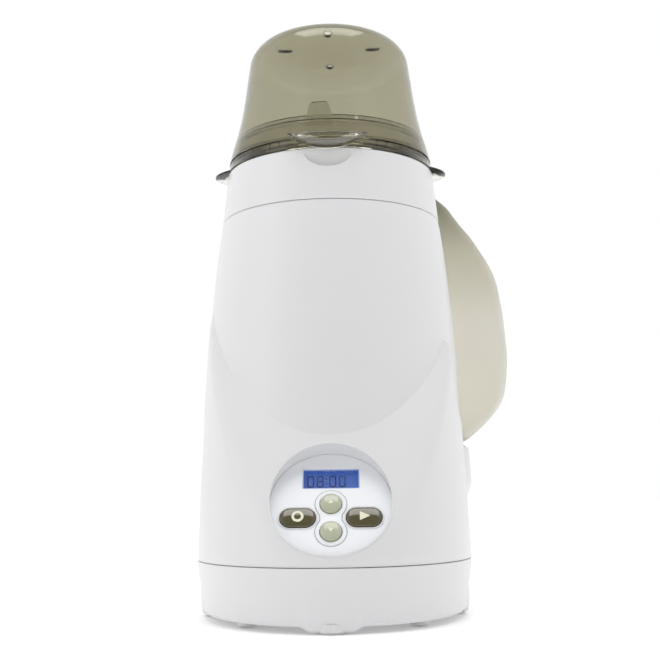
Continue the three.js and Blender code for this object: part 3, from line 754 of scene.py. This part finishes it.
oval_button("stop_cap", -1, "stop")
oval_button("start_cap", 1, "start")
MARK_TOP = 1.85
STOP_RING = circle(2.6, -OVAL_X, OVAL_Y)
STOP_HOLE = circle(1.5, -OVAL_X, OVAL_Y)
START_ARROW = [(OVAL_X - 1.9, OVAL_Y - 2.15), (OVAL_X + 2.6, OVAL_Y), (OVAL_X - 1.9, OVAL_Y + 2.15)]
raised("stop_mark", STOP_RING, [STOP_HOLE], LOOK["cream"], 0.9, MARK_TOP, "stop", "dark_button")
raised("start_mark", rounded(START_ARROW, 0.25, 3), [], LOOK["cream"], 0.9, MARK_TOP, "start",
       "dark_button")


def round_button(direction):
    y = ROUND_Y[direction]
    profile = [(0, -4.6), (1.3, -4.6), (1.4, -4.5), (1.4, -3.4), (ROUND_R + 0.9, -3.4), (ROUND_R + 0.9, -2.6),
               (ROUND_R, -2.5), (ROUND_R, 0.9)]
    for i in range(1, 15):
        t = i / 14 * math.pi / 2
        profile.append((ROUND_R * math.cos(t) ** 0.9 if i < 14 else 0, 0.9 + 1.5 * math.sin(t)))
    cap = lathe(direction + "_cap", profile, LOOK["sage"], 96, (0, y), False)
    show(place(cap, PANEL), direction, "sage_button", direction + "_button")
    s = 1 if direction == "up" else -1
    arrow = rounded([(-1.25, y - 0.75 * s), (1.25, y - 0.75 * s), (0, y + 1.15 * s)][::s], 0.2, 3)
    raised(direction + "_mark", arrow, [], LOOK["cream"], 1.2, 2.46, direction, "sage_button")


round_button("up")
round_button("down")


def display():
    half_w, half_h = LCD_W / 2, LCD_H / 2
    module = box_block(-13.5, 13.5, LCD_Y - 6, LCD_Y + 6, -9.0, -2.6)
    module.name = "display_module"
    module.data.materials.append(LOOK["blue"])
    show(module, "body", "display_blue", "lcd_module")
    edge = rounded(rectangle(-half_w, half_w, LCD_Y - half_h, LCD_Y + half_h), 0.5, 4)
    outer = np.array([(x, y, 0) for x, y in edge])
    middle_point = np.array([0, LCD_Y, 0])
    inner = middle_point + (outer - middle_point) * [1 - 0.45 / half_w, 1 - 0.45 / half_h, 1]
    outer = middle_point + (outer - middle_point) * [1 - 0.04 / half_w, 1 - 0.04 / half_h, 1]
    show(outline_frame("display_rim", outer, inner, LOOK["glow"], -1.7, -0.1), "body", "display_lens")
    inset = 0.5
    glass = box_block(-half_w + inset, half_w - inset, LCD_Y - half_h + inset, LCD_Y + half_h - inset,
                      -1.6, -0.4)
    glass.name = "display_pane"
    glass.data.materials.append(LOOK["lens"])
    show(glass, "body", "display_lens", "display_window")


display()


def digit_bars(char, x, height=5.8, width=3.1, bar=0.62):
    """The bars of a 0 or an 8 as rectangles (x0, x1, y0, y1), from the left-hand edge x."""
    half = height / 2
    gap = 0.16
    across = (x + bar + gap, x + width - bar - gap)
    sides = (x, x + width - bar)
    y0 = LCD_Y - half
    levels = [y0, y0 + half - bar / 2, y0 + height - bar]
    if char == "0":
        levels.pop(1)
    bars = [(across[0] - bar * 0.5, across[1] + bar * 0.5, y, y + bar) for y in levels]
    bars += [(left, left + bar, y0 + half + gap, y0 + height - gap - bar * 0.4) for left in sides]
    bars += [(left, left + bar, y0 + gap + bar * 0.4, y0 + half - gap) for left in sides]
    return bars


def display_digits():
    bars = []
    for char, x in (("0", -10.6), ("8", -6.4), ("0", -0.8), ("0", 3.4)):
        bars += digit_bars(char, x)
    for y in (LCD_Y - 1.5, LCD_Y + 0.9):
        bars.append((-2.35, -1.75, y, y + 0.6))
    pieces = []
    for sides in bars:
        rings = extrude(rectangle(*sides), -2.55, -2.45)
        pieces.append(place(stack("bar", rings, LOOK["digit"]), PANEL))
    digits = merge(pieces[0], *pieces[1:])
    digits.name = "display_digits"
    return show(digits, "body", "display_blue")


display_digits()


# ---------------------------------------------------------------- collar
def collar_ring():
    r = lambda z: float(cone_radius(z))
    outside = [(r(z), z) for z in np.linspace(COLLAR_BOTTOM + 0.5, COLLAR_TOP - 0.9, 16)]
    profile = [(46.8, 205), (48.8, 205), (50, COLLAR_TOP - 3), (r(COLLAR_TOP) - 2.6, COLLAR_TOP - 3),
               (r(COLLAR_BOTTOM) - 2.6, COLLAR_BOTTOM), (r(COLLAR_BOTTOM) - 0.5, COLLAR_BOTTOM)]
    profile += outside
    profile += [(r(COLLAR_TOP) - 0.12, COLLAR_TOP - 0.4), (r(COLLAR_TOP) - 0.5, COLLAR_TOP - 0.06),
                (r(COLLAR_TOP) - 0.9, COLLAR_TOP), (46.8, COLLAR_TOP)]
    ring = lathe("collar_shell", profile, LOOK["white"], 240)
    # half-moon thumb recess
    rings = []
    for y, grow in ((-60, 1.2), (-53.2, 0.4), (-52.2, 0.0), (-51.6, -0.4), (-51.2, -1.2)):
        t = np.arange(120) * 2 * math.pi / 120
        a, b = 12.5 + grow, 9 + grow
        rings.append(np.stack([a * np.cos(t), np.full(120, float(y)), COLLAR_TOP + b * np.sin(t)], axis=-1))
    combine(ring, stack("cutter", rings, None))
    return show(ring, "body", "white_shell", "collar_ring")


collar_ring()


# ---------------------------------------------------------------- base tray
def base_radius(theta, z):
    narrowing = 1 - 0.0021 * (BASE_TOP - z)
    return wall_radius(theta, np.full_like(theta, 25.0)) * narrowing


def foot_lobe(theta):
    """The four lobes that carry the rubber feet stand a little out of the skirt."""
    quarter = math.pi / 2
    near = np.abs((theta + quarter / 2) % quarter - quarter / 2) * 76
    return 1 - step((near - 8) / 5.5)


def base_tray():
    theta = housing_columns(480)
    levels = [BASE_TOP, BASE_TOP - 0.25, BASE_TOP - 0.7, 22, 20, 18, 16, 14, 12, 10, 8, 6.5, 5, 4, 3, 2.2,
              1.6, 1.1, 0.8, 0.7]
    lobe = foot_lobe(theta)
    rings = []
    for z in reversed(levels):
        level = np.full_like(theta, float(z))
        depth = step((17 - z) / 12)
        r = base_radius(theta, level) + lobe * depth * 0.9
        if z > BASE_TOP - 0.2:
            r -= 0.5
        r -= 1.4 * step((2.4 - z) / 1.7) ** 1.5
        low = level - lobe * 2.0 * step((10 - z) / 9)
        rings.append(ring_at(r, theta, low))
    tray = stack("base_shell", rings, LOOK["white"])
    turns = theta[::4]
    inner = wall_radius(turns, np.full(120, 25.0)) * 0.955 - 2.5
    hollow = stack("cutter", [ring_at(inner, turns, z) for z in (4, 26)], None)
    feet = [middle(f"foot_{side}") - AXIS for side in ("front", "right", "rear", "left")]
    screws = [middle(f"base_screw_{i}") - AXIS for i in range(1, 5)]
    for p in feet:
        profile = [(0, 2), (0, FLOOR + 1), (7.4, FLOOR + 1), (7.8, FLOOR + 1.4), (7.8, 2)]
        combine(tray, lathe("pad", profile, None, 64, (p.x, p.y)), "UNION", "EXACT")
        combine(hollow, disc_block(6.3, FLOOR, FLOOR + 3.2, p.x, p.y, 48), "UNION")
    for p in screws:
        combine(hollow, disc_block(4.4, 3.9, 20, p.x, p.y, 32))
        combine(hollow, disc_block(1.9, FLOOR, 30, p.x, p.y, 24), "UNION")
        combine(hollow, disc_block(3.6, FLOOR, 8, p.x, p.y, 32), "UNION")
        profile = [(0, 3), (0, FLOOR + 0.8), (4.1, FLOOR + 0.8), (4.4, FLOOR + 1.1), (4.4, 3)]
        combine(tray, lathe("stub", profile, None, 40, (p.x, p.y)), "UNION", "EXACT")
    gland = middle("cord_gland") - AXIS
    turn = Matrix.Translation(Vector((0, 0, gland.z))) @ Matrix.Rotation(-math.pi / 2, 4, "X")
    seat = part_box("cord_gland")[1].y / MM - AXIS.y - 6.5 - GAP
    combine(hollow, place(disc_block(5.3, seat - 20, seat + 5, 0, 0, 48), turn), "UNION")
    combine(hollow, place(disc_block(7.8, seat, seat + 9, 0, 0, 48), turn), "UNION")
    combine(tray, hollow, solver="EXACT")
    return show(tray, "body", "white_shell", "base_tray")


base_tray()


# ---------------------------------------------------------------- cover
COVER_WALL = [(RIM, 51.9), (227.6, 51.0), (231, 50.15), (233, 49.55), (235.4, 48.8), (240.8, 47.4),
              (246.8, 46), (253.5, 44.8), (259, 43.9), (264.5, 43.2), (270, 42.4), (277.7, 41.4)]
SHOULDER_R = 14.5
SHOULDER_START = math.radians(8)
COVER_HIGH = 289.1


def cover_profile():
    """The cover's closed outline, up the outside and back down the inside."""
    wall = smooth_curve(COVER_WALL)
    centre_z = COVER_HIGH - SHOULDER_R
    wall_top = centre_z + SHOULDER_R * math.sin(SHOULDER_START)
    centre = (float(wall(wall_top)) - SHOULDER_R * math.cos(SHOULDER_START), centre_z)
    outer = [(float(wall(z)), float(z)) for z in np.linspace(RIM, wall_top, 44)]
    arc = [SHOULDER_START + (math.pi / 2 - SHOULDER_START) * i / 18 for i in range(1, 19)]
    outer += [(centre[0] + SHOULDER_R * math.cos(a), centre[1] + SHOULDER_R * math.sin(a)) for a in arc]
    dish = [(centre[0] * (1 - t), COVER_HIGH - 1.2 * step(t * 1.1)) for t in np.linspace(0, 1, 12)[1:]]
    outer += [(r, float(z)) for r, z in dish]
    thick = 2.0
    path = np.array(outer)
    tangent = np.gradient(path, axis=0)
    tangent /= np.linalg.norm(tangent, axis=1)[:, None]
    inner = path + np.stack([-tangent[:, 1], tangent[:, 0]], axis=1) * thick
    inner[-1, 0] = 0
    inner[0] = (path[0, 0] - 2.6, path[0, 1])
    rim = [(51.75, RIM - 0.25), (51.3, RIM - 0.35), (49.9, RIM - 0.35), (49.5, RIM - 0.25)]
    return outer + [tuple(p) for p in inner[::-1]] + rim[::-1]


def cover_tongue():
    """A curved lip hanging from the front of the rim, like a smile, with a thick lower edge."""
    half = 18.6 / 53
    high = RIM + 1.4
    rings = []
    for u in np.linspace(-1, 1, 61):
        low = high - 0.7 - 7.6 * (1 - abs(u) ** 2.2)
        a = u * half - math.pi / 2
        section = [(51.3, high), (53.1, high), (54.0, low + 3.2), (55.3, low + 1.8), (55.6, low + 0.8),
                   (55.2, low), (53.6, low), (53.15, low + 0.4), (52.95, low + 2.2), (51.3, high - 0.6)]
        rings.append([(r * math.cos(a), r * math.sin(a), min(z, high)) for r, z in section])
    return stack("tongue", rings, None)


def steam_cover():
    cover = lathe("cover_dome", cover_profile(), LOOK["smoke"], 200)
    combine(cover, cover_tongue(), "UNION", "EXACT")
    for i in range(4):
        sizes = ((280, 0.5), (286.9, 0.0), (288.4, 0.0), (289.6, 0.7), (294, 1.6))
        rings = [oval_ring(3.7 + grow, 1.85 + grow, z, 48, 23, 0) for z, grow in sizes]
        vent = stack("cutter", rings, None)
        combine(cover, place(vent, Matrix.Rotation(i * math.pi / 2, 4, "Z")), solver="EXACT")
    return show(cover, "cover", "smoke_clear", "steam_cover")


steam_cover()


# ---------------------------------------------------------------- basket
LIP = COLLAR_TOP + 3.1


def curved_tab(angle, half, low, high, r0, r1, taper=0.0):
    """A small upright tab that follows a circle."""
    rings = []
    for z in np.linspace(low, high, 12):
        t = (z - low) / (high - low)
        wide = half * math.sqrt(max(0.02, 1 - (t * taper) ** 2.5))
        ring = []
        for r, order in ((r1, np.linspace(-1, 1, 9)), (r0, np.linspace(1, -1, 9))):
            for u in order:
                a = angle + u * wide / r
                ring.append((r * math.cos(a), r * math.sin(a), z))
        rings.append(ring)
    return stack("tab", rings, None)


def bottle_basket():
    corners = [(0, 101), (40.2, 101), (43.2, 105), (43.2, LIP), (44.1, LIP), (44.1, LIP + 1.5),
               (41.2, LIP + 1.5), (41.2, 106), (39.2, 103), (0, 103)]
    radii = [0, 2, 2, 0.2, 0.3, 0.5, 0.6, 2, 2, 0]
    basket = lathe("basket_cup", rounded(corners, radii, 4), LOOK["smoke"], 200)
    for i in range(8):
        drain = disc_block(4, 90, 110, 24, 0, 32)
        combine(basket, place(drain, Matrix.Rotation(i * math.pi / 4, 4, "Z")))
    combine(basket, disc_block(7, 90, 110, 0, 0, 48))
    return show(basket, "basket", "smoke_clear", "bottle_basket")


bottle_basket()


def brim(z, inset):
    """The flange's outline, which swells into a half-moon ear on each side."""
    theta = housing_columns(720)
    across = np.abs(52.6 * np.sin(theta))
    r = 52.6 + 6.9 * np.clip(1 - (across / 15) ** 2, 0, 1) ** 1.35 - inset
    return ring_at(r, theta, z)


def basket_ring():
    low = COLLAR_TOP + GAP
    band = RIM - 0.35 - GAP
    web = band - 1.8
    corners = [(43.5, low + 0.1), (45.8, low + 0.1), (45.8, web), (50.3, web), (50.4, low + 0.1),
               (52.2, low + 0.1), (52.0, 220), (51.7, band - 0.2), (51.4, band), (47.6, band),
               (47.3, 230.6), (47.9, 231.4), (47.7, 232.6), (46.9, 233.4), (46.6, 235.6), (44.4, 235.6),
               (44.4, LIP - GAP), (43.5, LIP - GAP)]
    radii = [0.2, 0.2, 0.4, 0.4, 0.2, 0.2, 0.6, 0.2, 0.2, 0.6, 0.3, 0.3, 0.3, 0.3, 0.6, 0.6, 0.2, 0.2]
    ring = lathe("basket_band", rounded(corners, radii, 4), LOOK["ring"], 200)
    rings = [brim(low, 0.25), brim(low + 0.12, 0.06), brim(low + 0.35, 0), brim(low + 0.7, 0),
             brim(low + 0.9, 0.06), brim(low + 1.0, 0.25)]
    plate = stack("brim", rings, None)
    combine(plate, disc_block(47, 200, 240, count=160))
    combine(ring, plate, "UNION", "EXACT")
    combine(ring, curved_tab(-math.pi / 2 - 0.09, 6.2, 231, 242.6, 43.6, 45.1, 0.86), "UNION")
    for side in (-1, 1):
        for offset in (0.0, 0.1):
            rib = curved_tab(-math.pi / 2 + side * (0.47 + offset), 0.35, 219.6, 222.6, 51.2, 52.3)
            combine(ring, rib, "UNION")
    return show(ring, "basket", "smoke_clear", "basket_ring")


basket_ring()


# ---------------------------------------------------------------- water tank
def tank_section(z, inset):
    """The tank's outline at a height, with an inner face along the cone."""
    inner = float(cone_radius(z)) + 1 + inset
    rise = float(step(np.array((z - 76) / 34)))
    fall = 1 - 0.42 * float(step(np.array((z - 165) / 51)))
    half = (15 + 9 * rise) * fall - inset
    edge = math.sqrt(inner * inner - half * half)
    far = max(float(tank_reach(z)) - inset, inner + 3)
    turn = min(14, half - 1, far - edge - 1)
    points = []
    for side in (-1, 1):
        for i in range(15):
            a = ((14 - i if side < 0 else i) / 14) * math.pi / 2
            points.append((far - turn + turn * math.cos(a), side * (half - turn + turn * math.sin(a)), z))
    for i in range(24):
        t = half * (1 - i / 11.5)
        start = math.sqrt(max(inner * inner - t * t, 0))
        if i in (0, 23):
            start += min(1.2, (far - edge) * 0.2)
        points.append((start, t * (0.985 if i in (1, 22) else 1), z))
    return points


def tank_shell(name, low, high, inset, look):
    levels = low + (high - low) * (0.5 - 0.5 * np.cos(np.linspace(0, math.pi, 70)))
    rings = [tank_section(z, inset) for z in levels]
    return place(stack(name, rings, look), TANK_TURN)


TANK_FOOT = 82.0
TANK_SEAM = 84.0


def water_tank():
    tank = tank_shell("tank_shell", TANK_SEAM + 0.05, 213.2, 0.0, LOOK["tank"])
    combine(tank, tank_shell("cutter", TANK_SEAM - 0.5, 210.6, 2.0, None))
    return show(tank, "tank", "smoke_frosted", "water_tank")


def tank_base():
    """The plate welded on under the tank, with its neck."""
    edge = [(TANK_FOOT, 0.7), (TANK_FOOT + 0.25, 0.3), (TANK_FOOT + 0.8, 0.02), (TANK_SEAM - 0.1, 0.02),
            (TANK_SEAM, 0.12)]
    plate = place(stack("tank_plate", [tank_section(z, inset) for z, inset in edge], LOOK["tank"]), TANK_TURN)
    combine(plate, place(disc_block(7.5, 76.5, TANK_SEAM - 1, WELL_R, 0, 64), TANK_TURN), "UNION")
    combine(plate, place(disc_block(5.5, 70, 90, WELL_R, 0, 64), TANK_TURN))
    return show(plate, "tank", "smoke_frosted", "tank_base")


water_tank()
tank_base()


def valve_spring():
    """The coil that closes the valve, built in one fixed shape. The real coil shortens towards its fixed
    upper end as the valve lifts.
    """
    low, high, turns, radius, wire = 78.6, 84.0, 3.5, 2.7, 0.35
    around = np.arange(12) * 2 * math.pi / 12
    rings = []
    for t in np.linspace(0, 1, 141):
        a = t * turns * 2 * math.pi
        r = radius + wire * np.cos(around)
        z = low + (high - low) * t + wire * np.sin(around)
        rings.append(np.stack([r * math.cos(a), r * math.sin(a), z], axis=-1))
    coil = place(stack("valve_coil", rings, LOOK["steel"]), Matrix.Translation(Vector((WELL.x, WELL.y, 0))))
    show(coil, "cap", "steel", "valve_spring")
    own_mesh(coil)


valve_spring()


# ---------------------------------------------------------------- studio
def studio_floor():
    half = 6.0
    mesh = bpy.data.meshes.new("floor")
    corners = [(-half, -half, 0), (half, -half, 0), (half, half, 0), (-half, half, 0)]
    mesh.from_pydata(corners, [], [(0, 1, 2, 3)])
    floor = bpy.data.objects.new("floor", mesh)
    bpy.context.scene.collection.objects.link(floor)
    paper = plastic("floor_white", (0.91, 0.91, 0.91), (0.75, 0.8), 0.003)
    shader = paper.node_tree.nodes["Principled BSDF"]
    shader.inputs["Emission Color"].default_value = (1, 1, 1, 1)
    # the paper glows a little more away from the object, so that it meets the backdrop without a line
    place_node = node(paper, "ShaderNodeTexCoord")
    distance = node(paper, "ShaderNodeVectorMath")
    distance.operation = "LENGTH"
    link(paper, place_node, "Object", distance, 0)
    glow = node(paper, "ShaderNodeMapRange")
    glow.inputs["From Min"].default_value = 0.3
    glow.inputs["From Max"].default_value = 1.6
    glow.inputs["To Min"].default_value = 0.18
    glow.inputs["To Max"].default_value = 0.5
    link(paper, distance, "Value", glow, "Value")
    link(paper, glow, "Result", shader, "Emission Strength")
    mesh.materials.append(paper)


def studio_world():
    """Light from all round, dimmer in front and overhead, with a plain white backdrop."""
    world = bpy.data.worlds.new("studio")
    bpy.context.scene.world = world
    world.use_nodes = True
    tree = world.node_tree
    tree.nodes.clear()
    out = tree.nodes.new("ShaderNodeOutputWorld")
    sky = tree.nodes.new("ShaderNodeBackground")
    coordinates = tree.nodes.new("ShaderNodeTexCoord")
    split = tree.nodes.new("ShaderNodeSeparateXYZ")
    around = tree.nodes.new("ShaderNodeMath")
    around.operation = "ARCTAN2"
    turn = tree.nodes.new("ShaderNodeMapRange")
    turn.inputs["From Min"].default_value = -math.pi
    turn.inputs["From Max"].default_value = math.pi
    walls = tree.nodes.new("ShaderNodeValToRGB")
    ceiling = tree.nodes.new("ShaderNodeValToRGB")
    both = tree.nodes.new("ShaderNodeMix")
    both.data_type = "RGBA"
    both.blend_type = "MULTIPLY"
    both.inputs[0].default_value = 1.0
    tree.links.new(coordinates.outputs["Generated"], split.inputs[0])
    tree.links.new(split.outputs["X"], around.inputs[0])
    tree.links.new(split.outputs["Y"], around.inputs[1])
    tree.links.new(around.outputs[0], turn.inputs["Value"])
    tree.links.new(turn.outputs["Result"], walls.inputs["Fac"])
    tree.links.new(split.outputs["Z"], ceiling.inputs["Fac"])
    tree.links.new(walls.outputs["Color"], both.inputs[6])
    tree.links.new(ceiling.outputs["Color"], both.inputs[7])
    tree.links.new(both.outputs[2], sky.inputs["Color"])
    # a plain white backdrop behind the object from every side
    backdrop = tree.nodes.new("ShaderNodeBackground")
    backdrop.inputs["Color"].default_value = (1, 1, 1, 1)
    backdrop.inputs["Strength"].default_value = 1.01
    path = tree.nodes.new("ShaderNodeLightPath")
    choice = tree.nodes.new("ShaderNodeMixShader")
    tree.links.new(path.outputs["Is Camera Ray"], choice.inputs[0])
    tree.links.new(sky.outputs[0], choice.inputs[1])
    tree.links.new(backdrop.outputs[0], choice.inputs[2])
    tree.links.new(choice.outputs[0], out.inputs["Surface"])
    # brightness by the angle from straight behind, clockwise from above; 180 is the camera's side
    fill_ramp(walls, [(0, 1.0), (75, 1.0), (110, 0.74), (142, 0.58), (155, 0.32), (180, 0.28)], -180, 180)
    fill_ramp(ceiling, [(0, 1.0), (0.7, 1.0), (0.9, 0.8), (1, 0.66)], 0, 1)
    sky.inputs["Strength"].default_value = 1.01


def fill_ramp(ramp, stops, low, high):
    """Writes the (position, level) stops. A ramp from a negative value is mirrored about zero."""
    if low < 0:
        stops = [(-x, y) for x, y in reversed(stops) if x > 0] + stops
    elements = ramp.color_ramp.elements
    while len(elements) < len(stops):
        elements.new(0.5)
    for element, (x, level) in zip(elements, stops):
        element.position = (x - low) / (high - low)
        element.color = (level, level, level, 1)


def area_light(name, place_at, aim, size, energy):
    data = bpy.data.lights.new(name, "AREA")
    data.shape = "RECTANGLE"
    data.size, data.size_y = size
    data.energy = energy
    lamp = bpy.data.objects.new(name, data)
    bpy.context.scene.collection.objects.link(lamp)
    lamp.location = place_at
    lamp.rotation_euler = (Vector(aim) - Vector(place_at)).to_track_quat("-Z", "Y").to_euler()


def camera():
    data = bpy.data.cameras.new("camera")
    data.lens = 60
    data.sensor_width = 36
    data.clip_start = 0.01
    view = bpy.data.objects.new("camera", data)
    bpy.context.scene.collection.objects.link(view)
    at = Vector((AXIS.x + 11.0, AXIS.y - 552.7, AXIS.z + 55.15)) * MM
    turn = Matrix.Rotation(math.radians(1.25), 4, "Z") @ Matrix.Rotation(math.radians(98.55), 4, "X")
    turn = turn @ Matrix.Rotation(math.radians(-0.67), 4, "Z")
    view.matrix_world = Matrix.Translation(at) @ turn
    bpy.context.scene.camera = view


studio_floor()
studio_world()
area_light("top_box", (0, -0.3, 1.4), (0, 0, 0.1), (1.2, 0.8), 10.0)
area_light("left_box", (-1.0, -0.5, 0.4), (0, 0, 0.15), (0.5, 1.0), 0.9)
camera()
bpy.context.scene.view_settings.view_transform = "Standard"
